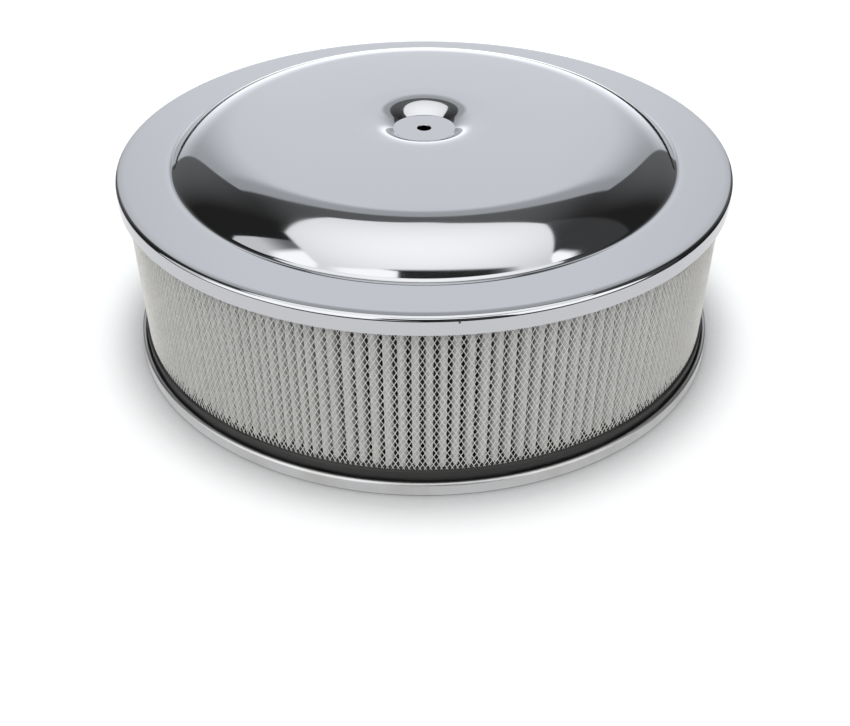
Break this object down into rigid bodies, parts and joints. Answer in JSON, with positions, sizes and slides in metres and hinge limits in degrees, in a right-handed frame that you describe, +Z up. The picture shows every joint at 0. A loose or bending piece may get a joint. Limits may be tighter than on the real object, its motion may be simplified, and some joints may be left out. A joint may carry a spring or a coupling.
{
  "type": "carburetor air cleaner",
  "caption": "Round open-element air cleaner: a bright domed lid on a pleated, wire-screened filter ring in a low base pan with an offset carburetor neck.",
  "frame": {"origin": "on the ground at the centre of the base pan's rim", "axes": "+Z up along the axis of the lid, element and rim; +Y towards the offset of the carburetor neck; +X to the right seen from the front"},
  "size_m": [0.357, 0.357, 0.1298],
  "materials": {
    "lid_chrome": "polished chrome plate",
    "pan_steel": "bright plate, satin from handling",
    "seal_rubber": "moulded black rubber, satin",
    "filter_paper": "matt pleated fibre",
    "screen_wire": "bright drawn wire"
  },
  "bodies": {
    "root": {"lid": "lid_chrome", "base_pan": "pan_steel", "neck_gasket": "seal_rubber", "bottom_seal": "seal_rubber", "top_seal": "seal_rubber", "pleated_media": "filter_paper", "outer_screen": "screen_wire", "inner_screen": "screen_wire"}
  },
  "joints": []
}
